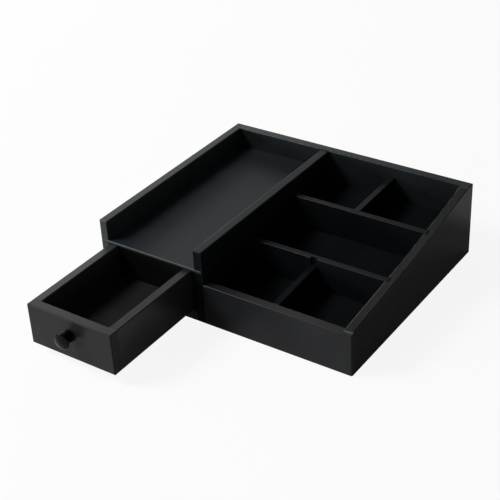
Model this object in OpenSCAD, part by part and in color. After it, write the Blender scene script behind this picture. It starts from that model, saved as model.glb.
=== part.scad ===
// Desk organizer with a drawer, an open tray and divided compartments.
// Painted boards, all square-cut with eased edges. Millimetres, +Z up, +Y towards the back.
// Origin: on the underside, in the middle of the cabinet's footprint.
// The drawer is drawn where it stands pulled out; closed, it is drawer_open further back.

/* [Cabinet] */
// Width over the two side walls
body_w = 305; // [270:1:350]
// Depth from the wall ends to the back face
body_d = 260; // [235:1:320]
// Height of the left wall and the back wall
body_h = 86; // [80:1:110]
// Thickness of the walls, the front panel and the drawer boards
board_t = 10; // [9:0.5:12]
// Thickness of the base board
base_t = 12; // [9:0.5:14]
// Height of the low front panel
front_panel_h = 47; // [42:1:52]
// How far the centre wall stays below the back wall
centre_wall_drop = 0.6; // [0:0.1:2]
// Radius of the left wall's outer front edge
left_corner_r = 1.5; // [0.5:0.1:3]
// Depth of the rabbet in the right wall that takes the front panel's end
panel_housing = 3; // [1:0.5:5]

/* [Tray and drawer bay] */
// Clear width between the left wall and the centre wall
bay_w = 111.5; // [95:0.5:125]
// Height of the tray shelf's underside above the ground
shelf_z = 60; // [56:0.5:64]
// Thickness of the tray shelf
shelf_t = 3; // [2:0.5:4]
// Depth of the shelf's groove in the left wall
shelf_groove_left = 6.7; // [4:0.1:7]
// What the shelf's groove leaves standing of the centre wall
shelf_web = 1.3; // [1:0.1:4]

/* [Right wall sweep] */
// Radius of the nose where the front edge turns into the top edge
nose_r = 4; // [2:0.5:6]
// Rise of the top edge for each millimetre of depth, over its straight front part
sweep_slope = 0.114; // [0.08:0.002:0.14]
// Depth at which the straight part turns into the arc
sweep_start = 80; // [70:1:85]
// Distance of the arc's upper end from the cabinet's back face
sweep_end = 15; // [12:1:25]
// Radius of the right wall's outer front edge
corner_r = 1.8; // [1:0.1:4]

/* [Compartments] */
// Thickness of the dividers
divider_t = 7; // [5:0.5:9]
// Depth of the front cross divider's front face behind the wall ends
front_cross_y = 81.7; // [75:0.1:90]
// Depth of the rear cross divider's front face behind the wall ends
rear_cross_y = 164.5; // [150:0.5:175]
// Depth of the grooves in the right wall that take the cross dividers
cross_groove = 3.9; // [2:0.1:4]
// Free space past a cross divider's end in its groove
groove_end_gap = 0.9; // [0.2:0.1:1.2]
// Free space between a cross divider and the front side of its groove
groove_front_gap = 0.6; // [0.1:0.1:1]
// Depth of the grooves in the cross dividers that take the short dividers
short_groove = 2.5; // [1.5:0.1:3]
// Free space round a short divider's end in its groove
groove_gap = 0.3; // [0.2:0.05:0.5]
// Rise of the front short divider's top towards the back
front_short_rise = 4.8; // [2:0.1:7]
// Rise of the rear short divider's top towards the back
rear_short_rise = 2; // [0:0.1:4]

/* [Compartment floor] */
// Thickness of the inclined floor
floor_t = 3; // [2:0.5:4]
// Height of the floor's underside over the base board, at its front edge
floor_lift = 0.2; // [0:0.1:2]
// Rise of the floor from its front edge to its back edge
floor_rise = 32.4; // [20:0.2:36]
// Depth of the floor's slanting grooves in the two walls beside it
floor_groove = 2.5; // [1:0.5:3]

/* [Drawer] */
// Length of the drawer from its front face to the back
drawer_l = 140.5; // [120:0.5:160]
// How much of the pulled-out drawer stays inside its bay
drawer_kept = 11.8; // [10.2:0.1:40]
// Thickness of the drawer front
drawer_front_t = 11; // [9:0.5:13]
// Gap between the drawer and the left wall
drawer_left_gap = 1; // [0.5:0.1:3]
// Gap between the drawer and the centre wall
drawer_right_gap = 4; // [0.5:0.1:5]
// Gap between the drawer and the base board
drawer_bottom_gap = 0.7; // [0.2:0.1:1]
// Gap between the drawer and the tray shelf
drawer_top_gap = 0.5; // [0.3:0.1:3]
// Thickness of the drawer's bottom board
drawer_bottom_t = 10; // [5:0.5:12]
// Height of the bottom board over the sides' lower edges
drawer_bottom_rise = 0.7; // [0.5:0.1:2]
// Width and height of the strip that stops the closed drawer
stop_strip = 8; // [5:0.5:12]
// Gap between the closed drawer and its stop
stop_gap = 0.4; // [0.3:0.1:1]

/* [Knob] */
// Diameter of the knob's cap
knob_d = 19; // [16:0.1:22]
// Thickness of the cap at its rim
knob_rim_t = 1.6; // [1:0.1:2.5]
// Distance of the cap's rim in front of the drawer front
knob_rim = 12.6; // [10:0.1:15]
// Crown of the cap's face in front of its rim
knob_crown = 2.2; // [1:0.1:3]
// Length of the flare behind the cap, from the groove to the rim
knob_flare = 1.4; // [0.8:0.1:2]
// Diameter at the bottom of the groove behind the cap
knob_groove_d = 9; // [7:0.1:11]
// Width of the groove behind the cap
knob_groove_w = 1.6; // [1:0.1:2.5]
// Diameter of the knob's neck
knob_neck_d = 12.2; // [11:0.1:13]
// Diameter of the collar at the knob's foot
knob_foot_d = 13.6; // [13:0.1:15]
// Thickness of the collar at the knob's foot
knob_foot_t = 1.8; // [1:0.1:3]
// Height of the knob's axis over the middle of the drawer front
knob_up = 4.6; // [0:0.1:6]
// Diameter of the knob's screw
knob_screw_d = 4; // [3:0.1:4.5]
// How deep the knob's screw reaches into the knob
knob_thread = 8; // [6:0.5:9]
// Diameter of the screw's head inside the drawer
knob_screw_head_d = 8; // [6:0.5:9]
// Thickness of the screw's head
knob_screw_head_t = 2.4; // [1.8:0.1:3]
// Width across the corners of the head's hexagonal socket
knob_screw_socket_d = 2.7; // [2:0.1:3.5]

/* [Edges and fasteners] */
// Radius of the eased edges of the boards
edge_r = 1; // [0.5:0.1:1.3]
// Radius of the eased edges of the dividers
divider_edge_r = 0.8; // [0.4:0.1:1.2]
// Diameter of the dowels
dowel_d = 6; // [5:0.5:6]
// How deep a dowel sits in the face of a board
dowel_face_depth = 6.5; // [5:0.5:7]
// How deep a dowel sits in the end of a board
dowel_end_depth = 17; // [12:1:20]
// Distance of the outer dowels from a wall's top and bottom edges
dowel_inset = 14; // [10:1:20]
// Distance of the base board's outer dowels from the front and back faces
base_dowel_inset = 40; // [25:1:60]
// Distance of the drawer's dowels from its top and bottom edges
drawer_dowel_inset = 11.6; // [8:0.1:15]
// Free space round and past a dowel
dowel_gap = 0.05; // [0.03:0.01:0.1]
// Diameter of the base screws' shanks
base_screw_d = 3.5; // [3:0.1:4]
// Diameter of the base screws' countersunk heads
base_screw_head_d = 7; // [6:0.1:8]
// Distance of the outer base screws from the front and back faces
base_screw_inset = 45; // [30:1:70]
// How deep a base screw's head is sunk below the underside
base_screw_sunk = 0.5; // [0.2:0.1:1]
// How far a base screw reaches into the centre wall
base_screw_reach = 22; // [16:1:28]
// Free space round a screw in its hole
screw_gap = 0.25; // [0.15:0.05:0.4]

/* [Hidden] */
paint = "#2a2b2d";
gloss = "#141416";
beech = "#c9a877";
zinc = "#b9bbbd";
curve_fn = 64;
over = 1;                                     // how far a cut runs past the face it leaves by

// Lines of the plan, from left to right and from the front to the back
x_left = -body_w / 2;
x_bay = x_left + board_t;
x_centre = x_bay + bay_w;
x_comp = x_centre + board_t;
x_right = body_w / 2 - board_t;
x_end = body_w / 2;
x_mid = (x_comp + x_right) / 2;
y_front = -body_d / 2;
y_panel = y_front + board_t;
y_back = body_d / 2 - board_t;
y_end = body_d / 2;

// The right wall's top edge: a straight rise, then an arc that starts along it
slope_a = atan(sweep_slope);
function straight_z(d) = front_panel_h + nose_r / cos(slope_a) + sweep_slope * (d - nose_r);
arc_end = body_d - sweep_end;
arc_run = arc_end - sweep_start;
arc_climb = body_h - straight_z(sweep_start);
arc_lift = arc_climb * cos(slope_a) - arc_run * sin(slope_a);
arc_r = (arc_run * arc_run + arc_climb * arc_climb) / (2 * arc_lift);
arc_y = y_front + sweep_start - arc_r * sin(slope_a);
arc_z = straight_z(sweep_start) + arc_r * cos(slope_a);
function sweep_z(d) = d < sweep_start ? straight_z(d)
    : arc_z - sqrt(arc_r * arc_r - pow(y_front + d - arc_y, 2));

// Divider lines; a cross divider's top is level with the right wall at its middle
y_cross1 = y_front + front_cross_y;
y_cross2 = y_front + rear_cross_y;
z_cross1 = sweep_z(front_cross_y + divider_t / 2);
z_cross2 = sweep_z(rear_cross_y + divider_t / 2);

// The inclined floor's underside and top
floor_a = atan(floor_rise / (y_back - y_panel));
floor_v = floor_t / cos(floor_a);
function floor_under(y) = base_t + floor_lift + tan(floor_a) * (y - y_panel);
function floor_top(y) = floor_under(y) + floor_v;

// The drawer where it stands
drawer_w = bay_w - drawer_left_gap - drawer_right_gap;
x_drawer = x_bay + drawer_left_gap;
drawer_open = drawer_l - drawer_kept;
y_drawer = y_front - drawer_open;
z_drawer = base_t + drawer_bottom_gap;
drawer_h = shelf_z - drawer_top_gap - z_drawer;
knob_x = x_drawer + drawer_w / 2;
knob_z = z_drawer + drawer_h / 2 + knob_up;
side_l = drawer_l - drawer_front_t;

// Dowel places along each joint
wall_dowel_z = [dowel_inset, body_h / 2, body_h - dowel_inset];
base_dowel_y = [y_front + base_dowel_inset, 0, y_end - base_dowel_inset];
drawer_dowel_z = [z_drawer + drawer_dowel_inset, z_drawer + drawer_h - drawer_dowel_inset];
base_screw_y = [y_front + base_screw_inset, 0, y_end - base_screw_inset];

// ---- Helpers ------------------------------------------------------------

// A box between two opposite corners
module block(a, b) {
    translate(a) cube(b - a);
}

// Turns something drawn upright along +Z to lie along +X, +Y or +Z
module along(axis) {
    if (axis == "x") rotate([90, 0, 90]) children();
    else if (axis == "y") rotate([-90, 0, 0]) children();
    else children();
}

// What is cut off a square edge to leave it round: the edge runs from the origin along the
// axis, and the solid lies on the far side of (u, v), where x means (y, z), y means (x, -z)
// and z means (x, y)
module edge_cut(axis, length, r, u, v) {
    along(axis) linear_extrude(length) difference() {
        translate([u > 0 ? -r : -over, v > 0 ? -r : -over]) square(r + over);
        translate([-u * r, -v * r]) circle(r, $fn = curve_fn);
    }
}

// The same, from one point to another that lies further along the axis
module ease_x(x0, x1, y, z, v, w, r = edge_r) {
    translate([x0, y, z]) edge_cut("x", x1 - x0, r, v, w);
}
module ease_y(y0, y1, x, z, u, w, r = edge_r) {
    translate([x, y0, z]) edge_cut("y", y1 - y0, r, u, -w);
}
module ease_z(z0, z1, x, y, u, v, r = edge_r) {
    translate([x, y, z0]) edge_cut("z", z1 - z0, r, u, v);
}

// A dowel hole or a dowel from a point, along an axis, between two depths
module rod(p, axis, from, to, r) {
    translate(p) along(axis) translate([0, 0, from]) cylinder(h = to - from, r = r, $fn = curve_fn);
}

// Everything above the inclined floor's top, between two x
module above_floor(x0, x1) {
    translate([x0, 0, 0]) rotate([90, 0, 90]) linear_extrude(x1 - x0) polygon([
        [y_panel - over, floor_top(y_panel - over)],
        [y_end, floor_top(y_end)],
        [y_end, 2 * body_h],
        [y_panel - over, 2 * body_h]]);
}

// The slanting slab of the floor between two x
module floor_slab(x0, x1) {
    translate([x0, 0, 0]) rotate([90, 0, 90]) linear_extrude(x1 - x0) polygon([
        [y_panel, floor_under(y_panel)],
        [y_back, floor_under(y_back)],
        [y_back, floor_top(y_back)],
        [y_panel, floor_top(y_panel)]]);
}

// The grooves in the right wall for the ends of the cross dividers
module cross_grooves() {
    x0 = x_right - over;
    x1 = x_right + cross_groove;
    for (y = [y_cross1, y_cross2])
        intersection() {
            block([x0, y - groove_front_gap, 0], [x1, y + divider_t, 2 * body_h]);
            above_floor(x0, x1);
        }
}

// Dowels between a side wall and the boards that end on it; s is 1 on the right, -1 on the left
module wall_dowel_set(x, s, r, gap) {
    a = s > 0 ? -dowel_end_depth : -dowel_face_depth;
    b = s > 0 ? dowel_face_depth : dowel_end_depth;
    for (z = wall_dowel_z) rod([x, y_back + board_t / 2, z], "x", a + gap, b - gap, r);
    for (y = base_dowel_y) rod([x, y, base_t / 2], "x", a + gap, b - gap, r);
}
module wall_dowel_holes() {
    wall_dowel_set(x_bay, -1, dowel_d / 2 + dowel_gap, 0);
    wall_dowel_set(x_right, 1, dowel_d / 2 + dowel_gap, 0);
}

// ---- Cabinet ------------------------------------------------------------

// Left wall: full depth, grooved for the shelf, its ends and top eased
module left_wall() {
    color(paint) difference() {
        block([x_left, y_front, 0], [x_bay, y_end, body_h]);
        block([x_bay - shelf_groove_left, y_front - over, shelf_z],
              [x_bay + over, y_back, shelf_z + shelf_t]);
        ease_y(y_front - over, y_end + over, x_left, body_h, -1, 1);
        ease_y(y_front - over, y_back, x_bay, body_h, 1, 1);
        ease_x(x_left - over, x_bay + over, y_front, body_h, -1, 1);
        ease_x(x_left - over, x_bay + over, y_end, body_h, 1, 1);
        ease_z(-over, body_h + over, x_left, y_front, -1, -1, left_corner_r);
        ease_z(-over, body_h + over, x_bay, y_front, 1, -1);
        ease_z(-over, body_h + over, x_left, y_end, -1, 1);
        wall_dowel_holes();
    }
}

// Centre wall: stands on the base board, its front foot reaches the ground
module centre_wall() {
    top = body_h - centre_wall_drop;
    color(paint) difference() {
        union() {
            block([x_centre, y_front, base_t], [x_comp, y_back, top]);
            block([x_centre, y_front, 0], [x_comp, y_panel, base_t]);
        }
        block([x_centre - over, y_front - over, shelf_z],
              [x_comp - shelf_web, y_back + over, shelf_z + shelf_t]);
        floor_slab(x_comp - floor_groove, x_comp + over);
        ease_y(y_front - over, y_back + over, x_centre, top, -1, 1);
        ease_y(y_front - over, y_back + over, x_comp, top, 1, 1);
        ease_x(x_centre - over, x_comp + over, y_front, top, -1, 1);
        ease_z(-over, body_h, x_centre, y_front, -1, -1);
        ease_z(front_panel_h, body_h, x_comp, y_front, 1, -1);
        for (y = base_screw_y)
            rod([x_centre + board_t / 2, y, 0], "z", 0, base_t + base_screw_reach + screw_gap,
                base_screw_d / 2 + dowel_gap);
    }
}

// Side view of the right wall: a nose, a straight rise, an arc and a level end
module right_wall_side() {
    difference() {
        polygon([[y_front, 0], [y_end, 0], [y_end, body_h], [y_front + sweep_start, body_h],
                 [y_front + sweep_start, straight_z(sweep_start)],
                 [y_front + nose_r * (1 - sin(slope_a)), front_panel_h + nose_r * cos(slope_a)],
                 [y_front, front_panel_h + nose_r * cos(slope_a)]]);
        translate([arc_y, arc_z]) circle(arc_r, $fn = 720);
        difference() {
            translate([y_front - over, front_panel_h]) square([nose_r + over, nose_r + over]);
            translate([y_front + nose_r, front_panel_h]) circle(nose_r, $fn = curve_fn);
            translate([y_front + nose_r * (1 - sin(slope_a)), front_panel_h])
                square([nose_r, 2 * nose_r]);
        }
    }
}

// Plan of the right wall: the outer front corner is rounder than the others
module right_wall_plan() {
    difference() {
        translate([x_right, y_front]) square([board_t, body_d]);
        difference() {
            translate([x_end - corner_r, y_front - over]) square(corner_r + over);
            translate([x_end - corner_r, y_front + corner_r]) circle(corner_r, $fn = curve_fn);
        }
        difference() {
            translate([x_end - edge_r, y_end - edge_r]) square(edge_r + over);
            translate([x_end - edge_r, y_end - edge_r]) circle(edge_r, $fn = curve_fn);
        }
    }
}

// Rounds one long top edge of the right wall, at x, with the solid on the side away from u
module sweep_edge(x, u, y_stop) {
    nose_y = nose_r * (1 - sin(slope_a));
    // the straight part, from the nose to the arc
    translate([x, y_front + nose_y, front_panel_h + nose_r * cos(slope_a)])
        rotate([slope_a, 0, 0])
            edge_cut("y", (sweep_start - nose_y) / cos(slope_a), edge_r, u, -1);
    // the arc, carried on a little past its end to mitre with the level part
    intersection() {
        translate([x, arc_y, arc_z]) rotate([0, 90, 0]) rotate_extrude($fn = 720)
            difference() {
                translate([arc_r - over, u > 0 ? -edge_r : -over]) square(edge_r + over);
                translate([arc_r + edge_r, -u * edge_r]) circle(edge_r, $fn = curve_fn);
            }
        translate([x, y_front + sweep_start, straight_z(sweep_start)]) rotate([slope_a, 0, 0])
            block([-2 * over, 0, -2 * edge_r], [2 * over, arc_run / cos(slope_a) + 3 * over, body_h]);
    }
    // the level end
    ease_y(y_front + arc_end - over, y_stop, x, body_h, u, 1);
}

module right_wall() {
    color(paint) difference() {
        intersection() {
            translate([x_right, 0, 0]) rotate([90, 0, 90]) linear_extrude(board_t) right_wall_side();
            linear_extrude(body_h) right_wall_plan();
        }
        block([x_right - over, y_front - over, -over],
              [x_right + panel_housing, y_panel, front_panel_h]);
        floor_slab(x_right - over, x_right + floor_groove);
        cross_grooves();
        sweep_edge(x_end, 1, y_end + over);
        sweep_edge(x_right, -1, y_back);
        ease_x(x_right - over, x_end + over, y_end, body_h, 1, 1);
        wall_dowel_holes();
    }
}

// Back wall: between the side walls
module back_wall() {
    color(paint) difference() {
        block([x_bay, y_back, 0], [x_right, y_end, body_h]);
        ease_x(x_bay - over, x_right + over, y_end, body_h, 1, 1);
        ease_x(x_bay, x_centre, y_back, body_h, -1, 1);
        ease_x(x_comp, x_right, y_back, body_h, -1, 1);
        wall_dowel_holes();
    }
}

// Front panel: its right end sits in the right wall's rabbet
module front_panel() {
    color(paint) difference() {
        block([x_comp, y_front, 0], [x_right + panel_housing, y_panel, front_panel_h]);
        ease_x(x_comp - over, x_end, y_front, front_panel_h, -1, 1);
        ease_x(x_comp, x_mid - divider_t / 2, y_panel, front_panel_h, 1, 1);
        ease_x(x_mid + divider_t / 2, x_right, y_panel, front_panel_h, 1, 1);
    }
}

// Base board: cut back where the centre wall's foot and the front panel reach the ground
module base_board() {
    color(paint) difference() {
        block([x_bay, y_front, 0], [x_right, y_back, base_t]);
        block([x_centre, y_front - over, -over], [x_right + over, y_panel, base_t + over]);
        ease_x(x_bay, x_centre, y_front, base_t, -1, 1, divider_edge_r);
        wall_dowel_holes();
        for (y = base_screw_y) translate([x_centre + board_t / 2, y, 0]) {
            translate([0, 0, -over])
                cylinder(h = base_t + 2 * over, r = base_screw_d / 2 + screw_gap, $fn = curve_fn);
            translate([0, 0, -over])
                cylinder(h = over + base_screw_sunk, r = base_screw_head_d / 2 + screw_gap,
                         $fn = curve_fn);
            translate([0, 0, base_screw_sunk])
                cylinder(h = base_screw_head_d / 2, r1 = base_screw_head_d / 2 + screw_gap,
                         r2 = screw_gap, $fn = curve_fn);
        }
    }
}

// Tray shelf: a thin board in grooves of the two walls beside it
module tray_shelf() {
    color(paint) difference() {
        block([x_bay - shelf_groove_left, y_front, shelf_z],
              [x_comp - shelf_web, y_back, shelf_z + shelf_t]);
        ease_x(x_left, x_comp, y_front, shelf_z + shelf_t, -1, 1, shelf_t / 4);
        ease_x(x_left, x_comp, y_front, shelf_z, -1, -1, shelf_t / 4);
    }
}

// Inclined floor of the compartments, in slanting grooves
module compartment_floor() {
    color(paint) floor_slab(x_comp - floor_groove, x_right + floor_groove);
}

// A cross divider: it butts the centre wall, is housed in the right wall, and has the groove
// of its short divider
module cross_divider(y, z, groove_y) {
    x0 = x_comp;
    x1 = x_right + cross_groove - groove_end_gap;
    difference() {
        intersection() {
            block([x0, y, 0], [x1, y + divider_t, z]);
            above_floor(x0, x1);
        }
        ease_x(x0 - over, x1 + over, y, z, -1, 1, divider_edge_r);
        ease_x(x0 - over, x1 + over, y + divider_t, z, 1, 1, divider_edge_r);
        block([x_mid - divider_t / 2 - groove_gap, groove_y, 0],
              [x_mid + divider_t / 2 + groove_gap, groove_y + short_groove, body_h]);
    }
}
module front_cross_divider() {
    color(paint) cross_divider(y_cross1, z_cross1, y_cross1);
}
module rear_cross_divider() {
    color(paint) cross_divider(y_cross2, z_cross2, y_cross2 + divider_t - short_groove);
}

// A short divider from y0 to y1, its top rising from z0 by a given amount
module short_divider(y0, y1, z0, rise) {
    a = atan(rise / (y1 - y0));
    intersection() {
        block([x_mid - divider_t / 2, y0, 0], [x_mid + divider_t / 2, y1, body_h]);
        above_floor(x_mid - divider_t, x_mid + divider_t);
        translate([x_mid, y0, z0]) rotate([a, 0, 0]) translate([0, -board_t, 0])
            difference() {
                block([-divider_t / 2, 0, -body_h], [divider_t / 2, y1 - y0 + 3 * board_t, 0]);
                translate([divider_t / 2, -over, 0])
                    edge_cut("y", y1 - y0 + 4 * board_t, divider_edge_r, 1, -1);
                translate([-divider_t / 2, -over, 0])
                    edge_cut("y", y1 - y0 + 4 * board_t, divider_edge_r, -1, -1);
            }
    }
}
module front_short_divider() {
    color(paint) short_divider(y_panel, y_cross1 + short_groove - groove_gap,
                               front_panel_h, front_short_rise);
}
module rear_short_divider() {
    color(paint) short_divider(y_cross2 + divider_t - short_groove + groove_gap, y_back,
                               z_cross2, rear_short_rise);
}

// Strip on the base board that stops the closed drawer
module drawer_stop() {
    y = y_front + drawer_l + stop_gap;
    color(beech) block([x_bay, y, base_t], [x_centre, y + stop_strip, base_t + stop_strip]);
}

module wall_dowels() {
    color(beech) {
        wall_dowel_set(x_bay, -1, dowel_d / 2, dowel_gap);
        wall_dowel_set(x_right, 1, dowel_d / 2, dowel_gap);
    }
}

// Countersunk screws that hold the centre wall down on the base board
module base_screws() {
    color(zinc) for (y = base_screw_y)
        translate([x_centre + board_t / 2, y, base_screw_sunk]) {
            cylinder(h = (base_screw_head_d - base_screw_d) / 2, r1 = base_screw_head_d / 2,
                     r2 = base_screw_d / 2, $fn = curve_fn);
            cylinder(h = base_t + base_screw_reach - base_screw_sunk, r = base_screw_d / 2,
                     $fn = curve_fn);
        }
}

// ---- Drawer -------------------------------------------------------------

// Dowels along Y that hold the sides to the front and to the back
module drawer_dowel_set(r, gap) {
    for (x = [x_drawer + board_t / 2, x_drawer + drawer_w - board_t / 2])
        for (z = drawer_dowel_z)
            rod([x, y_drawer + drawer_front_t, z], "y", gap - dowel_face_depth,
                dowel_end_depth - gap, r);
    for (x = [x_drawer + board_t, x_drawer + drawer_w - board_t])
        for (z = drawer_dowel_z) {
            s = x > knob_x ? -1 : 1;
            a = s > 0 ? -dowel_face_depth : -dowel_end_depth;
            b = s > 0 ? dowel_end_depth : dowel_face_depth;
            rod([x, y_drawer + drawer_l - board_t / 2, z], "x", a + gap, b - gap, r);
        }
}
module drawer_dowel_holes() {
    drawer_dowel_set(dowel_d / 2 + dowel_gap, 0);
}

// Drawer front: full width, with the hole for the knob's screw
module drawer_front() {
    x1 = x_drawer + drawer_w;
    y1 = y_drawer + drawer_front_t;
    z1 = z_drawer + drawer_h;
    color(paint) difference() {
        block([x_drawer, y_drawer, z_drawer], [x1, y1, z1]);
        ease_x(x_drawer - over, x1 + over, y_drawer, z1, -1, 1);
        ease_x(x_drawer - over, x1 + over, y_drawer, z_drawer, -1, -1);
        ease_z(z_drawer - over, z1 + over, x_drawer, y_drawer, -1, -1);
        ease_z(z_drawer - over, z1 + over, x1, y_drawer, 1, -1);
        ease_y(y_drawer - over, y1 + over, x_drawer, z1, -1, 1);
        ease_y(y_drawer - over, y1 + over, x1, z1, 1, 1);
        ease_x(x_drawer + board_t, x1 - board_t, y1, z1, 1, 1);
        drawer_dowel_holes();
        rod([knob_x, y_drawer - over, knob_z], "y", 0, drawer_front_t + 2 * over,
            knob_screw_d / 2 + screw_gap);
    }
}

// A drawer side; s is -1 on the left and 1 on the right
module drawer_side(s) {
    x0 = s < 0 ? x_drawer : x_drawer + drawer_w - board_t;
    x1 = x0 + board_t;
    y0 = y_drawer + drawer_front_t;
    y1 = y_drawer + drawer_l;
    z1 = z_drawer + drawer_h;
    x_out = s < 0 ? x0 : x1;
    x_in = s < 0 ? x1 : x0;
    color(paint) difference() {
        block([x0, y0, z_drawer], [x1, y1, z1]);
        ease_y(y0 - over, y1 + over, x_out, z1, s, 1);
        ease_y(y0 - over, y1 - board_t, x_in, z1, -s, 1);
        ease_x(x0 - over, x1 + over, y1, z1, 1, 1);
        ease_z(z_drawer - over, z1 + over, x_out, y1, s, 1);
        drawer_dowel_holes();
    }
}
module drawer_left_side() { drawer_side(-1); }
module drawer_right_side() { drawer_side(1); }

// Drawer back: between the sides
module drawer_back() {
    y0 = y_drawer + drawer_l - board_t;
    y1 = y_drawer + drawer_l;
    z1 = z_drawer + drawer_h;
    color(paint) difference() {
        block([x_drawer + board_t, y0, z_drawer], [x_drawer + drawer_w - board_t, y1, z1]);
        ease_x(x_drawer, x_drawer + drawer_w, y0, z1, -1, 1);
        ease_x(x_drawer, x_drawer + drawer_w, y1, z1, 1, 1);
        drawer_dowel_holes();
    }
}

// Drawer bottom: between the sides, the front and the back
module drawer_bottom() {
    z0 = z_drawer + drawer_bottom_rise;
    color(paint) block([x_drawer + board_t, y_drawer + drawer_front_t, z0],
                       [x_drawer + drawer_w - board_t, y_drawer + drawer_l - board_t,
                        z0 + drawer_bottom_t]);
}

module drawer_dowels() {
    color(beech) drawer_dowel_set(dowel_d / 2, dowel_gap);
}

// Half section of the knob, from its collar on the drawer front to the crown of its face
module knob_profile() {
    cap_r = knob_d / 2;
    neck_r = knob_neck_d / 2;
    groove_r = knob_groove_d / 2;
    cap_base = knob_rim - knob_rim_t;
    flare_base = cap_base - knob_flare;
    crown_r = (cap_r * cap_r + knob_crown * knob_crown) / (2 * knob_crown);
    difference() {
        union() {
            square([knob_foot_d / 2, knob_foot_t]);
            square([neck_r, flare_base - knob_groove_w]);
            square([groove_r, cap_base]);
            polygon([[0, flare_base], [groove_r, flare_base], [cap_r - knob_rim_t / 2, cap_base],
                     [cap_r - knob_rim_t / 2, knob_rim], [0, knob_rim]]);
            translate([cap_r - knob_rim_t / 2, knob_rim - knob_rim_t / 2])
                circle(knob_rim_t / 2, $fn = curve_fn);
            intersection() {
                translate([0, knob_rim]) square([cap_r - knob_rim_t / 2, knob_crown]);
                translate([0, knob_rim + knob_crown - crown_r]) circle(crown_r, $fn = 360);
            }
        }
        translate([0, -over]) square([knob_screw_d / 2, knob_thread + over]);
    }
}
module knob() {
    color(gloss) translate([knob_x, y_drawer, knob_z]) rotate([90, 0, 0])
        rotate_extrude($fn = 128) intersection() {
            knob_profile();
            square([knob_d, knob_rim + 2 * knob_crown]);
        }
}

// Screw that holds the knob, with its pan head inside the drawer
module knob_screw() {
    color(zinc) translate([knob_x, y_drawer + drawer_front_t, knob_z]) rotate([90, 0, 0]) {
        cylinder(h = drawer_front_t + knob_thread - screw_gap, r = knob_screw_d / 2 - dowel_gap,
                 $fn = curve_fn);
        translate([0, 0, -knob_screw_head_t]) difference() {
            cylinder(h = knob_screw_head_t, r = knob_screw_head_d / 2, $fn = curve_fn);
            translate([0, 0, -over])
                cylinder(h = over + knob_screw_head_t / 2, r = knob_screw_socket_d / 2, $fn = 6);
        }
    }
}

left_wall();
centre_wall();
right_wall();
back_wall();
front_panel();
base_board();
tray_shelf();
compartment_floor();
front_cross_divider();
rear_cross_divider();
front_short_divider();
rear_short_divider();
drawer_stop();
wall_dowels();
base_screws();
drawer_front();
drawer_left_side();
drawer_right_side();
drawer_back();
drawer_bottom();
drawer_dowels();
knob();
knob_screw();
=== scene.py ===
# %% [markdown]
# # A black desk organizer with one drawer
#
# The organizer is a shallow cabinet of painted fibreboard. On the left a drawer
# runs under an open tray. On the right five small compartments stand on one
# inclined floor, beside a wall whose top sweeps up to the back. The boards come
# from the construction model, so this lesson is about finish, light and the one
# turned part, the knob.
#
# We load that model first. Everything is in metres, with the origin under the
# middle of the cabinet, X to the right, Y to the back and Z up.

# %% Load the construction model
import math

import bmesh
import bpy
from mathutils import Matrix, Vector


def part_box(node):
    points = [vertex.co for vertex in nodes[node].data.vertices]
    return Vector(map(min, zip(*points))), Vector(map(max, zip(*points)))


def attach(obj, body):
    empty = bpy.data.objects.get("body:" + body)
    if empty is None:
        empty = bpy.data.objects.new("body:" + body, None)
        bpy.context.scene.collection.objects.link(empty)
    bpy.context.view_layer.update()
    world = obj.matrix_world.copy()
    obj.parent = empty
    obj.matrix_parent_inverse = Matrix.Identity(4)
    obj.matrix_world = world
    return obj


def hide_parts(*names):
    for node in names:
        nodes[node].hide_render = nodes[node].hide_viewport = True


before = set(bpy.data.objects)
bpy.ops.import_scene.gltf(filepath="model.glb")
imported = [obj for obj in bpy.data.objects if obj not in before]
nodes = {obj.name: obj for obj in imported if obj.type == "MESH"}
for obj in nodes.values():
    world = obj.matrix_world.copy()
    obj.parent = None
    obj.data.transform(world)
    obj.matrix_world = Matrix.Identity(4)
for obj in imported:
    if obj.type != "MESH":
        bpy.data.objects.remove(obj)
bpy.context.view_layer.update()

MM = 0.001
print("boards and parts:", len(nodes))

# %% [markdown]
# ## The camera
#
# The photograph is a product shot from the front right, looking down on the tray
# and the compartments. A long lens keeps the boards nearly parallel. A camera can
# be aimed by eye, but this one's place and angles were worked out from the lines
# of the boards in the photograph, so that the two pictures can be laid over each
# other. It turns the way a tripod head does: pan, tilt and a slight roll.

# %% Camera
LENS_MM = 86.978
SENSOR_MM = 36.0
CAMERA_PLACE = Vector((0.6093, -0.9311, 0.7252))
PAN, TILT, ROLL = 0.6350365, -0.5576709, -0.0604645  # in radians
SHIFT = (0.0355, -0.0044)


def camera_axes(pan, tilt, roll):
    """The camera's right, up and back directions for a tripod head's three angles."""
    ahead = Vector((-math.sin(pan) * math.cos(tilt), math.cos(pan) * math.cos(tilt), math.sin(tilt)))
    level = Vector((math.cos(pan), math.sin(pan), 0.0))
    above = level.cross(ahead)
    right = level * math.cos(roll) + above * math.sin(roll)
    up = above * math.cos(roll) - level * math.sin(roll)
    return right, up, -ahead


camera_data = bpy.data.cameras.new("tripod_camera")
camera_data.lens = LENS_MM
camera_data.sensor_width = SENSOR_MM
camera_data.sensor_fit = "HORIZONTAL"
camera_data.shift_x, camera_data.shift_y = SHIFT
camera = bpy.data.objects.new("tripod_camera", camera_data)
bpy.context.scene.collection.objects.link(camera)
turn = Matrix(camera_axes(PAN, TILT, ROLL)).transposed().to_4x4()
camera.matrix_world = Matrix.Translation(CAMERA_PLACE) @ turn
bpy.context.scene.camera = camera
print("camera looks along", [round(-v, 3) for v in turn.col[2][:3]])

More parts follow.
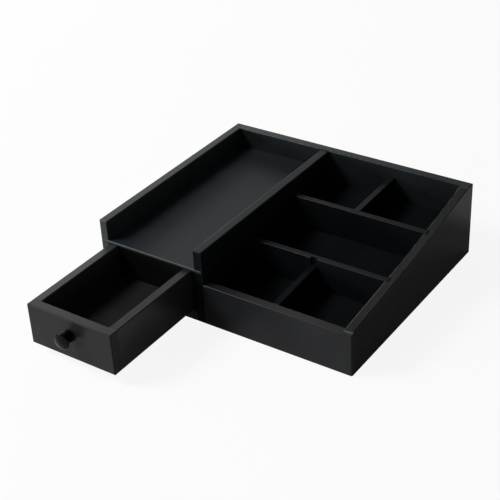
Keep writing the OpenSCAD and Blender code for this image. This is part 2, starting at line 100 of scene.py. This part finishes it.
# %% [markdown]
# ## Colour and node helpers
#
# Colours are written as the hex values a paint card would give. A screen colour
# is not linear in light, so one function turns it into what the renderer needs,
# by the usual sRGB curve.
#
# One more function adds a node, sets it up and wires it, so that each finish
# reads as a short recipe. An input goes by its name, with _ for a space, or by
# its number, as i0, i1 and so on.

# %% Helpers for finishes


def paint_colour(hex_code):
    """A paint card's sRGB hex as linear red, green, blue and alpha."""
    parts = [int(hex_code[i : i + 2], 16) / 255 for i in (1, 3, 5)]
    linear = [c / 12.92 if c <= 0.04045 else ((c + 0.055) / 1.055) ** 2.4 for c in parts]
    return (*linear, 1.0)


def add_node(tree, kind, settings=None, **links):
    """Adds one node. settings are its attributes; each link is a value or a socket."""
    node = tree.nodes.new(kind)
    for name, value in (settings or {}).items():
        setattr(node, name, value)
    for name, value in links.items():
        key = int(name[1:]) if name[0] == "i" and name[1:].isdigit() else name.replace("_", " ")
        socket = node.inputs[key]
        if isinstance(value, bpy.types.NodeSocket):
            tree.links.new(value, socket)
        else:
            socket.default_value = value
    return node


def new_finish(name):
    """A material with only a shader and its output, ready for a recipe."""
    finish = bpy.data.materials.new(name)
    finish.use_nodes = True
    tree = finish.node_tree
    tree.nodes.clear()
    shader = add_node(tree, "ShaderNodeBsdfPrincipled")
    add_node(tree, "ShaderNodeOutputMaterial", Surface=shader.outputs["BSDF"])
    return finish, tree, shader


def per_metre(size_mm):
    """A noise scale for features of this size: one cell of noise per size."""
    return 1.0 / (size_mm * MM)


print("half grey on the card, #808080, is", round(paint_colour("#808080")[0], 3), "in linear light")

# %% [markdown]
# ## Satin black paint on fibreboard
#
# The real boards are medium-density fibreboard, sprayed black and left satin.
# Three things tell the eye so: the broad faces give a soft, blurred reflection of
# the room; the sprayed film has a faint orange-peel ripple; and the sawn edges,
# which drink more paint, are grainier than the faces and catch the light on their
# tops. Pictures of paint could be wrapped round each board, but a recipe that
# reads the object's own coordinates fits every board and has no seams.
#
# The recipe finds the sawn edge from the direction the surface faces: a board's
# edge looks along the board, not across it. An edge that looks up is a top, and
# any other is an end. In the narrow rounding between a face and an edge, the
# arris, the surface looks both ways at once.
#
# The ripple of a sprayed film is about 1 mm across, which is finer than a pixel
# here, so it is drawn 2.5 mm wide.

# %% Which side of the board
ACROSS = {"x": (1.0, 0.0, 0.0), "y": (0.0, 1.0, 0.0), "z": (0.0, 0.0, 1.0)}
TOP_LOOKS_UP = (0.75, 0.9)  # an edge turns from end to top between these heights of its normal
FULL_ARRIS = 0.2  # face times edge, from which the rounding is all arris


def board_sides(tree, facing, across):
    """How much the surface belongs to a face and to an edge of the board, from 0 to 1."""
    face = add_node(
        tree, "ShaderNodeVectorMath", {"operation": "DOT_PRODUCT"}, i0=facing, i1=ACROSS[across]
    )
    face = add_node(tree, "ShaderNodeMath", {"operation": "ABSOLUTE"}, i0=face.outputs["Value"])
    edge = add_node(
        tree, "ShaderNodeMath", {"operation": "SUBTRACT", "use_clamp": True}, i0=1.0, i1=face.outputs[0]
    )
    return face.outputs[0], edge.outputs[0]


def side_shine(tree, facing, face, edge, coat):
    """The coat's shine for the face, top, end or arris that the surface belongs to."""
    upward = add_node(tree, "ShaderNodeSeparateXYZ", Vector=facing).outputs["Z"]
    top_or_end = add_node(
        tree, "ShaderNodeMapRange", Value=upward, From_Min=TOP_LOOKS_UP[0], From_Max=TOP_LOOKS_UP[1],
        To_Min=coat["end_shine"], To_Max=coat["top_shine"],
    )
    shine = add_node(
        tree, "ShaderNodeMapRange", Value=edge, To_Min=coat["face_shine"], To_Max=top_or_end.outputs[0]
    )
    arris = add_node(tree, "ShaderNodeMath", {"operation": "MULTIPLY"}, i0=face, i1=edge)
    rubbed = add_node(
        tree, "ShaderNodeMapRange", Value=arris.outputs[0], From_Max=FULL_ARRIS,
        To_Min=1.0, To_Max=coat["arris_shine"],
    )
    shine = add_node(
        tree, "ShaderNodeMath", {"operation": "MULTIPLY"}, i0=shine.outputs[0], i1=rubbed.outputs[0]
    )
    return shine.outputs[0]


print("a board's edge turns into a top from", TOP_LOOKS_UP[0], "to", TOP_LOOKS_UP[1])

# %% The paint recipe
CLOUD_MM = 45.0
CLOUD_TONE = (0.35, 0.65)  # noise values between which the first black turns to the second
CLOUD_GLOSS = (0.3, 0.7)  # and between which the smoother paint turns to the rougher
RIPPLE_MM = 2.5
RIPPLE_DEPTH_MM = 0.012
FIBRE_MM = 1.2
FIBRE_HEIGHT = 0.6  # of the fibres in a sawn edge, as a share of the ripple's depth
EDGE_ROUGHNESS = 0.14  # what a sawn edge adds to the roughness of the face


def satin_paint(name, across, coat):
    """Black satin paint on a board whose thickness runs along one axis."""
    finish, tree, shader = new_finish(name)
    place = add_node(tree, "ShaderNodeTexCoord").outputs["Object"]
    facing = add_node(tree, "ShaderNodeNewGeometry").outputs["Normal"]
    face, edge = board_sides(tree, facing, across)
    cloud = add_node(
        tree, "ShaderNodeTexNoise", Vector=place, Scale=per_metre(CLOUD_MM), Detail=3.0, Roughness=0.55
    ).outputs["Fac"]
    ripple = add_node(
        tree, "ShaderNodeTexNoise", Vector=place, Scale=per_metre(RIPPLE_MM), Detail=2.0, Roughness=0.5
    ).outputs["Fac"]
    fibre = add_node(
        tree, "ShaderNodeTexNoise", Vector=place, Scale=per_metre(FIBRE_MM), Detail=4.0, Roughness=0.7
    ).outputs["Fac"]

    first, second = (paint_colour(code) for code in coat["colours"])
    tone = add_node(
        tree, "ShaderNodeMapRange", Value=cloud, From_Min=CLOUD_TONE[0], From_Max=CLOUD_TONE[1]
    )
    body = add_node(
        tree, "ShaderNodeMix", {"data_type": "RGBA"}, i0=tone.outputs[0], i6=first, i7=second
    )
    tree.links.new(body.outputs[2], shader.inputs["Base Color"])

    smooth, rough = coat["roughness"]
    face_gloss = add_node(
        tree, "ShaderNodeMapRange", Value=cloud, From_Min=CLOUD_GLOSS[0], From_Max=CLOUD_GLOSS[1],
        To_Min=smooth, To_Max=rough,
    )
    edge_gloss = add_node(
        tree, "ShaderNodeMath", {"operation": "MULTIPLY_ADD"},
        i0=edge, i1=EDGE_ROUGHNESS, i2=face_gloss.outputs[0],
    )
    tree.links.new(edge_gloss.outputs[0], shader.inputs["Roughness"])

    grain = add_node(tree, "ShaderNodeMath", {"operation": "MULTIPLY"}, i0=fibre, i1=edge)
    film = add_node(
        tree, "ShaderNodeMath", {"operation": "MULTIPLY_ADD"},
        i0=grain.outputs[0], i1=FIBRE_HEIGHT, i2=ripple,
    )
    bump = add_node(
        tree, "ShaderNodeBump", Height=film.outputs[0], Strength=1.0, Distance=RIPPLE_DEPTH_MM * MM
    )
    tree.links.new(bump.outputs["Normal"], shader.inputs["Normal"])
    tree.links.new(side_shine(tree, facing, face, edge, coat), shader.inputs["Specular IOR Level"])
    return finish


print("ripple drawn", RIPPLE_MM, "mm wide,", RIPPLE_DEPTH_MM, "mm deep")

# %% [markdown]
# ## A coat for each board
#
# Black spray is never quite even: a board that got more coats reflects more. One
# coat for all would be simpler, but the boards differ clearly in light and shade. So
# each has its own pair of blacks, which cloudy noise blends, and its own shine for
# faces, tops and ends. The arris has a factor on that shine. A plain plastic would
# have a shine of 0.5. The pairs of blacks are lit and shaded copies of one black
# paint: a board's pair is lighter, darker or bluer by the light, shade and bluish
# sheen that fall on it, so it holds painted light and painted shade. The first paint
# is the common one, and each row of the list says only what differs from it.

# %% Paint the boards
PAINT = {
    "colours": ("#17181a", "#1d1e20"), "roughness": (0.27, 0.32),
    "face_shine": 0.197, "top_shine": 0.289, "end_shine": 0.197, "arris_shine": 1.0,
}
# The boards in the compartments get this darker copy of the black: painted shade.
SHADED_PAINT = {"colours": ("#0b0e10", "#0e1114"), "face_shine": 0.158}
# The drawer's blacks are a shade warmer than the others: a painted warm reflection.
DRAWER_PAINT = {
    "colours": ("#191818", "#1f1d1d"), "roughness": (0.28, 0.33),
    "top_shine": 0.405, "end_shine": 0.145, "arris_shine": 0.3,
}
COATS = (
    # The left wall's lighter, bluer blacks are painted light and bluish sheen on its inner face.
    ("left_wall", "x", ["left_wall"], {"colours": ("#202426", "#262a2b"), "top_shine": 0.239}),
    ("centre_wall", "x", ["centre_wall"], {**SHADED_PAINT, "top_shine": 0.21, "end_shine": 0.039}),
    # The right wall's darker, greenish blacks are painted shade on its outer face.
    ("right_wall", "x", ["right_wall"], {
        "colours": ("#0e100f", "#131514"), "roughness": (0.22, 0.26),
        "face_shine": 0.059, "top_shine": 0.651,
    }),
    # The back wall's teal blacks are painted bluish sheen, and a painted tone between its lit face over
    # the tray and its shaded face in the compartments.
    ("back_wall", "y", ["back_wall"], {"colours": ("#16191b", "#1a1f21"), "top_shine": 0.391}),
    ("front_panel", "y", ["front_panel"], {"face_shine": 0.145, "top_shine": 0.405}),
    ("base", "z", ["base_board"], {}),
    # The tray shelf's bluish blacks are a painted reflection of its bluish sheen.
    ("shelf", "z", ["tray_shelf"], {
        "colours": ("#10171b", "#151d21"), "roughness": (0.52, 0.55),
        "face_shine": 0.295, "end_shine": 0.329, "arris_shine": 2.5,
    }),
    ("inclined_floor", "z", ["compartment_floor"], {**SHADED_PAINT, "face_shine": 0.029}),
    ("cross_dividers", "y", ["front_cross_divider", "rear_cross_divider"],
     {**SHADED_PAINT, "top_shine": 0.16}),
    ("front_short", "x", ["front_short_divider"], {**SHADED_PAINT, "top_shine": 0.043}),
    ("rear_short", "x", ["rear_short_divider"], {**SHADED_PAINT, "top_shine": 0.202}),
    # The drawer's left side is lighter: painted light on its inner face.
    ("drawer_left", "x", ["drawer_left_side"],
     {**DRAWER_PAINT, "colours": ("#282929", "#2d2f2f"), "top_shine": 0.391}),
    ("drawer_right", "x", ["drawer_right_side"], {**DRAWER_PAINT, "top_shine": 0.318}),
    ("drawer_front", "y", ["drawer_front"], {**DRAWER_PAINT, "face_shine": 0.138, "end_shine": 0.132}),
    # The drawer back's near-black is painted shade under the tray.
    ("drawer_back", "y", ["drawer_back"],
     {**DRAWER_PAINT, "colours": ("#0c0b0b", "#0e0d0d"), "face_shine": 0.053}),
    # The drawer bottom's lighter blacks are painted light from the lamps on the drawer's floor.
    ("drawer_bottom", "z", ["drawer_bottom"],
     {**DRAWER_PAINT, "colours": ("#201f1f", "#262424"), "face_shine": 0.033}),
)


def coat_nodes(members, finish):
    """Puts one finish on some parts of the construction model."""
    for member in members:
        materials = nodes[member].data.materials
        materials.clear()
        materials.append(finish)
    print(finish.name, "on", ", ".join(members))


for coat_name, across, members, changes in COATS:
    coat_nodes(members, satin_paint(f"satin_black_{coat_name}", across, {**PAINT, **changes}))

# %% [markdown]
# ## Beech, for what is left unpainted
#
# The dowels in the joints and the strip that stops the drawer are plain planed
# beech: pale and slightly pink, with fine growth lines and short darker flecks.
# Whole trunks of rings could be worked out and cut, but these pieces are small and
# mostly hidden, so a noise drawn out along the grain is enough. Growth lines are
# about 1.5 mm apart. The flecks are half a millimetre wide and some millimetres
# long.

# %% Beech
GROWTH_MM = 1.5
GROWTH_DEPTH_MM = 0.05
FLECK_MM = 0.6
FLECK_SHOWS = (0.58, 0.7)  # noise values between which a fleck comes up
ALONG_GRAIN = 0.06  # how slowly the pattern changes along the wood
BEECH_PALE, BEECH_DARK, BEECH_FLECK = "#d9b48a", "#c1946a", "#9a6f4a"
BEECH_ROUGHNESS = 0.55


def planed_beech(name, along):
    """Planed beech whose grain runs along one axis."""
    finish, tree, shader = new_finish(name)
    place = add_node(tree, "ShaderNodeTexCoord").outputs["Object"]
    stretch = [ALONG_GRAIN if axis == along else 1.0 for axis in "xyz"]
    grain_place = add_node(tree, "ShaderNodeMapping", Vector=place, Scale=stretch).outputs[0]
    rings = add_node(
        tree, "ShaderNodeTexNoise", Vector=grain_place, Scale=per_metre(GROWTH_MM),
        Detail=4.0, Roughness=0.6,
    ).outputs["Fac"]
    fleck = add_node(
        tree, "ShaderNodeTexNoise", Vector=grain_place, Scale=per_metre(FLECK_MM),
        Detail=2.0, Roughness=0.5,
    ).outputs["Fac"]
    fleck_mark = add_node(
        tree, "ShaderNodeMapRange", Value=fleck, From_Min=FLECK_SHOWS[0], From_Max=FLECK_SHOWS[1]
    )
    wood = add_node(
        tree, "ShaderNodeMix", {"data_type": "RGBA"},
        i0=rings, i6=paint_colour(BEECH_PALE), i7=paint_colour(BEECH_DARK),
    )
    flecked = add_node(
        tree, "ShaderNodeMix", {"data_type": "RGBA"},
        i0=fleck_mark.outputs[0], i6=wood.outputs[2], i7=paint_colour(BEECH_FLECK),
    )
    tree.links.new(flecked.outputs[2], shader.inputs["Base Color"])
    bump = add_node(tree, "ShaderNodeBump", Height=rings, Strength=1.0, Distance=GROWTH_DEPTH_MM * MM)
    tree.links.new(bump.outputs["Normal"], shader.inputs["Normal"])
    shader.inputs["Roughness"].default_value = BEECH_ROUGHNESS
    return finish


coat_nodes(["drawer_stop", "wall_dowels", "drawer_dowels"], planed_beech("planed_beech", "x"))

# %% [markdown]
# ## Zinc-plated steel screws
#
# The base is held by countersunk screws and the knob by one from inside the
# drawer. Zinc plate is a bluish, slightly cloudy metal: bright, but never a
# mirror, because the plating grows in small crystals. One even grey would look
# like plastic, so Voronoi cells stand for the crystals: gloss and tint change a
# little from the middle of each cell to its rim.

# %% Zinc plate
CRYSTAL_MM = 0.8
ZINC_ROUGHNESS = (0.28, 0.42)
ZINC_PALE, ZINC_DARK = "#c3c8cc", "#a9aeb3"


def zinc_plate(name):
    """Bright zinc on steel, cloudy with small crystals."""
    finish, tree, shader = new_finish(name)
    place = add_node(tree, "ShaderNodeTexCoord").outputs["Object"]
    crystal = add_node(
        tree, "ShaderNodeTexVoronoi", Vector=place, Scale=per_metre(CRYSTAL_MM)
    ).outputs["Distance"]
    cloudy = add_node(
        tree, "ShaderNodeMapRange", Value=crystal, To_Min=ZINC_ROUGHNESS[0], To_Max=ZINC_ROUGHNESS[1]
    )
    tree.links.new(cloudy.outputs[0], shader.inputs["Roughness"])
    tint = add_node(
        tree, "ShaderNodeMix", {"data_type": "RGBA"},
        i0=crystal, i6=paint_colour(ZINC_PALE), i7=paint_colour(ZINC_DARK),
    )
    tree.links.new(tint.outputs[2], shader.inputs["Base Color"])
    shader.inputs["Metallic"].default_value = 1.0
    return finish


coat_nodes(["base_screws", "knob_screw"], zinc_plate("zinc_plate"))

# %% [markdown]
# ## The knob's gloss lacquer
#
# The knob is a small turned mushroom knob, lacquered glossier than the boards. A
# glossy black could be one layer, but real lacquer is a clear coat over black: the
# coat gives the crisp highlight, and the base beneath it stays deep. Lacquer has
# an IOR of about 1.5. In the photograph the knob reflects less than that, so the
# coat's is lower.

# %% Gloss lacquer
PEEL_MM = 1.5
PEEL_DEPTH_MM = 0.01
HAZE_MM = 8.0
HAZE_RANGE = (0.3, 0.7)  # noise values between which the base goes from smooth to hazy
BASE_ROUGHNESS = (0.14, 0.18)
BASE_DEEP, BASE_BLACK = "#030303", "#050506"
COAT_IOR = 1.19
COAT_ROUGHNESS = 0.03


def gloss_lacquer(name):
    """A clear, crisp coat over deep black."""
    finish, tree, shader = new_finish(name)
    place = add_node(tree, "ShaderNodeTexCoord").outputs["Object"]
    peel = add_node(
        tree, "ShaderNodeTexNoise", Vector=place, Scale=per_metre(PEEL_MM), Detail=2.0, Roughness=0.5
    ).outputs["Fac"]
    haze = add_node(
        tree, "ShaderNodeTexNoise", Vector=place, Scale=per_metre(HAZE_MM), Detail=2.0, Roughness=0.5
    ).outputs["Fac"]
    cloudy = add_node(
        tree, "ShaderNodeMapRange", Value=haze, From_Min=HAZE_RANGE[0], From_Max=HAZE_RANGE[1],
        To_Min=BASE_ROUGHNESS[0], To_Max=BASE_ROUGHNESS[1],
    )
    tree.links.new(cloudy.outputs[0], shader.inputs["Roughness"])
    tint = add_node(
        tree, "ShaderNodeMix", {"data_type": "RGBA"},
        i0=haze, i6=paint_colour(BASE_DEEP), i7=paint_colour(BASE_BLACK),
    )
    tree.links.new(tint.outputs[2], shader.inputs["Base Color"])
    bump = add_node(tree, "ShaderNodeBump", Height=peel, Strength=1.0, Distance=PEEL_DEPTH_MM * MM)
    tree.links.new(bump.outputs["Normal"], shader.inputs["Normal"])
    shader.inputs["Specular IOR Level"].default_value = 0.0
    shader.inputs["Coat Weight"].default_value = 1.0
    shader.inputs["Coat IOR"].default_value = COAT_IOR
    shader.inputs["Coat Roughness"].default_value = COAT_ROUGHNESS
    return finish


lacquer = gloss_lacquer("gloss_black_lacquer")
coat_nodes(["knob"], lacquer)

# %% [markdown]
# ## The knob, turned
#
# A turner would cut this knob on a lathe. It could be stacked from cylinders, but
# we do as the turner does: draw half of its outline and spin it once round. The
# construction model's knob has flat facets that a glossy coat would show, so this
# smooth one takes its place, in the same spot and with the same measures.
#
# From the drawer front outwards the outline has a collar, the neck, a groove, and
# the flare under the cap. The cap has a round rim and a gently crowned face.

# %% The knob's outline
KNOB = {
    "foot": 13.6,  # diameter of the collar at the foot, in mm like all the rest
    "foot_t": 1.8,  # thickness of that collar
    "neck": 12.2,  # diameter of the neck
    "groove": 9.0,  # diameter at the bottom of the groove
    "groove_w": 1.6,  # width of the groove
    "flare": 1.4,  # length of the flare under the cap
    "cap": 19.0,  # diameter of the cap
    "rim_t": 1.6,  # thickness of the cap at its rim
    "rim": 12.6,  # how far the rim stands in front of the drawer front
    "crown": 2.2,  # how far the middle of the face stands in front of the rim
}
FOOT_BREAK_MM = 0.3  # the collar's broken corners
NECK_BREAK_MM = 0.4  # the neck's broken corner at the groove
RIM_END_DEG = 75.0  # where the round rim gives way to the crown
RIM_STEPS, CROWN_STEPS, LATHE_STEPS = 10, 14, 96


def arc_points(centre, radius, start, stop, steps):
    """Points of the knob's outline along an arc, as (radius from the axis, height), in mm."""
    angles = [math.radians(start + (stop - start) * i / steps) for i in range(steps + 1)]
    return [(centre[0] + radius * math.cos(a), centre[1] + radius * math.sin(a)) for a in angles]


def knob_outline(k):
    """Half of the knob's outline, from the drawer front out to the middle of its face, in mm."""
    cap_r, foot_r, neck_r, groove_r = (k[part] / 2 for part in ("cap", "foot", "neck", "groove"))
    flare_base = k["rim"] - k["rim_t"] - k["flare"]
    groove_base = flare_base - k["groove_w"]
    half_rim = k["rim_t"] / 2
    crown_r = (cap_r**2 + k["crown"] ** 2) / (2 * k["crown"])
    crown_centre = k["rim"] + k["crown"] - crown_r
    crown_start = 90.0 - math.degrees(math.asin((cap_r - half_rim) / crown_r))
    collar = [
        (0.0, 0.0), (foot_r - FOOT_BREAK_MM, 0.0), (foot_r, FOOT_BREAK_MM),
        (foot_r, k["foot_t"] - FOOT_BREAK_MM), (foot_r - FOOT_BREAK_MM, k["foot_t"]),
    ]
    neck = [
        (neck_r, k["foot_t"]), (neck_r, groove_base - NECK_BREAK_MM),
        (neck_r - NECK_BREAK_MM, groove_base),
    ]
    groove = [(groove_r, groove_base), (groove_r, flare_base)]
    rim = arc_points((cap_r - half_rim, k["rim"] - half_rim), half_rim, -90.0, RIM_END_DEG, RIM_STEPS)
    crown = arc_points((0.0, crown_centre), crown_r, crown_start, 90.0, CROWN_STEPS)[:-1]
    return collar + neck + groove + rim + crown + [(0.0, k["rim"] + k["crown"])]


outline = knob_outline(KNOB)
print("knob's outline:", len(outline), "points,", round(outline[-1][1], 1), "mm long")

# %% Turn the knob
MERGE_DISTANCE = 0.01 * MM
SMOOTH_UP_TO = math.radians(32)  # a bend of the outline that is sharper stays a crisp line
knob_low, knob_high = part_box("knob")
knob_foot = Vector(((knob_low.x + knob_high.x) / 2, knob_high.y, (knob_low.z + knob_high.z) / 2))


def turn_on_lathe(name, outline, steps):
    """Spins half an outline once round the Z axis and gives a smooth closed mesh."""
    work = bmesh.new()
    points = [work.verts.new((r * MM, 0.0, h * MM)) for r, h in outline]
    edges = [work.edges.new(pair) for pair in zip(points, points[1:])]
    bmesh.ops.spin(
        work, geom=points + edges, cent=(0, 0, 0), axis=(0, 0, 1), angle=2 * math.pi,
        steps=steps, use_merge=True, use_duplicate=False,
    )
    bmesh.ops.remove_doubles(work, verts=work.verts, dist=MERGE_DISTANCE)
    bmesh.ops.recalc_face_normals(work, faces=work.faces)
    for face in work.faces:
        face.smooth = True
    for edge in work.edges:
        edge.smooth = edge.calc_face_angle(0.0) < SMOOTH_UP_TO
    mesh = bpy.data.meshes.new(name)
    work.to_mesh(mesh)
    work.free()
    return mesh


def add_piece(name, mesh, finish, body):
    """Adds a finished piece to the scene, on the body that carries it."""
    mesh.materials.append(finish)
    piece = bpy.data.objects.new(name, mesh)
    bpy.context.scene.collection.objects.link(piece)
    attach(piece, body)
    return piece


knob_mesh = turn_on_lathe("turned_knob", outline, LATHE_STEPS)
knob_mesh.transform(Matrix.Translation(knob_foot) @ Matrix.Rotation(math.radians(90), 4, "X"))
knob = add_piece("turned_knob", knob_mesh, lacquer, "drawer")
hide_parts("knob")
print("turned knob:", len(knob_mesh.polygons), "faces, foot at", [round(v, 4) for v in knob_foot])

# %% [markdown]
# ## White paper under the organizer
#
# The photograph was taken against white. The floor is white paper. Stronger lamps
# would make it white too, but they would also bleach the boards. So its own white
# is mixed in for the camera, which leaves the organizer only a faint shadow. In
# reflections less of that white is mixed in, because the outer wall mirrors the
# shadow's edge.

# %% Floor
FLOOR_HALF_WIDTH = 6.0
PAPER_TONE, PAPER_ROUGHNESS = "#f4f4f4", 0.9
PAPER_WHITE, WHITE_LEVEL = "#ffffff", 0.99
FLOOR_WASH = 0.9  # share of the paper's own white that the camera sees
MIRRORED_WASH = 0.04  # and that reflections see


def white_paper(name):
    """Matt white paper that the camera sees nearly as plain white."""
    finish, tree, shader = new_finish(name)
    shader.inputs["Base Color"].default_value = paint_colour(PAPER_TONE)
    shader.inputs["Roughness"].default_value = PAPER_ROUGHNESS
    shader.inputs["Specular IOR Level"].default_value = 0.0
    white = add_node(tree, "ShaderNodeEmission", Color=paint_colour(PAPER_WHITE), Strength=WHITE_LEVEL)
    ray = add_node(tree, "ShaderNodeLightPath").outputs
    mirrored = add_node(
        tree, "ShaderNodeMath", {"operation": "MAXIMUM"},
        i0=ray["Is Glossy Ray"], i1=ray["Is Transmission Ray"],
    )
    washed = add_node(
        tree, "ShaderNodeMath", {"operation": "MULTIPLY"}, i0=mirrored.outputs[0], i1=MIRRORED_WASH
    )
    washed = add_node(
        tree, "ShaderNodeMath", {"operation": "MULTIPLY_ADD"},
        i0=ray["Is Camera Ray"], i1=FLOOR_WASH, i2=washed.outputs[0],
    )
    paper = add_node(
        tree, "ShaderNodeMixShader",
        i0=washed.outputs[0], i1=shader.outputs["BSDF"], i2=white.outputs[0],
    )
    surface = next(node for node in tree.nodes if node.type == "OUTPUT_MATERIAL")
    tree.links.new(paper.outputs[0], surface.inputs["Surface"])
    return finish


floor_shape = bmesh.new()
bmesh.ops.create_grid(floor_shape, x_segments=1, y_segments=1, size=FLOOR_HALF_WIDTH)
floor_mesh = bpy.data.meshes.new("studio_floor")
floor_shape.to_mesh(floor_mesh)
floor_shape.free()
floor = bpy.data.objects.new("studio_floor", floor_mesh)
bpy.context.scene.collection.objects.link(floor)
floor_mesh.materials.append(white_paper("white_floor"))
print("floor", 2 * FLOOR_HALF_WIDTH, "m wide")

# %% [markdown]
# ## The room
#
# The room is bright near the horizon and dark overhead, so the boards get their
# soft sheen and the insides stay black. A picture of a real studio could surround
# the scene, but a few greys from the horizon up to the ceiling do the same and are
# easy to change. Each pair below is a height, from 0 to 1, and the grey there.

# %% Room
ROOM_FADE = ((0.0, 0.95), (0.12, 0.9), (0.25, 0.25), (0.5, 0.15), (1.0, 0.12))
ROOM_STRENGTH = 0.76
room = bpy.data.worlds.new("fading_room")
bpy.context.scene.world = room
room.use_nodes = True
room_tree = room.node_tree
room_tree.nodes.clear()
look = add_node(room_tree, "ShaderNodeTexCoord").outputs["Generated"]
height = add_node(room_tree, "ShaderNodeSeparateXYZ", Vector=look).outputs["Z"]
fade = add_node(room_tree, "ShaderNodeValToRGB", Fac=height)
ramp = fade.color_ramp
while len(ramp.elements) < len(ROOM_FADE):
    ramp.elements.new(0.5)  # anywhere: its place is set next
for element, (position, level) in zip(ramp.elements, ROOM_FADE):
    element.position = position
    element.color = (level, level, level, 1.0)
sky = add_node(room_tree, "ShaderNodeBackground", Color=fade.outputs["Color"], Strength=ROOM_STRENGTH)
add_node(room_tree, "ShaderNodeOutputWorld", Surface=sky.outputs[0])
print("room fades from", ROOM_FADE[0][1], "to", ROOM_FADE[-1][1])

# %% [markdown]
# ## Soft lights
#
# One large soft light stands to the left and a little in front. Two long low
# panels at the back left put the grey sheen on the tray and on the flat tops, and
# the tray's left wall hides them by degrees, which is why the tray darkens towards
# it. A small panel low in front gives the knob its highlight. Sunlight or a point
# lamp would give hard shadows, which the photograph hasn't.

# %% Light the scene
SOFT_LIGHTS = (
    ("key_light", (-1.9, -1.4, 2.2), (1.0, 1.0), 92.0),
    ("back_left_panel", (-1.046, 0.965, 0.683), (1.28, 0.54), 1.8),
    ("low_left_panel", (-1.6, 1.15, 0.54), (0.97, 0.56), 5.3),
    ("low_front_panel", (-2.0, -2.1, 0.3), (0.75, 0.5), 46.0),
)


def soft_light(name, place, size, watts):
    """A rectangular soft light that looks at the organizer, out of the camera's sight."""
    lamp = bpy.data.lights.new(name, "AREA")
    lamp.shape = "RECTANGLE"
    lamp.size, lamp.size_y = size
    lamp.energy = watts
    light = bpy.data.objects.new(name, lamp)
    light.location = place
    light.rotation_euler = (-Vector(place)).to_track_quat("-Z", "Y").to_euler()
    light.visible_camera = False
    bpy.context.scene.collection.objects.link(light)


for light_name, place, size, watts in SOFT_LIGHTS:
    soft_light(light_name, place, size, watts)
    print(light_name, watts, "W")

# %% [markdown]
# ## Picture settings
#
# Colours are shown as they are mixed, with the Standard view.

# %% Finish
bpy.context.scene.view_settings.view_transform = "Standard"
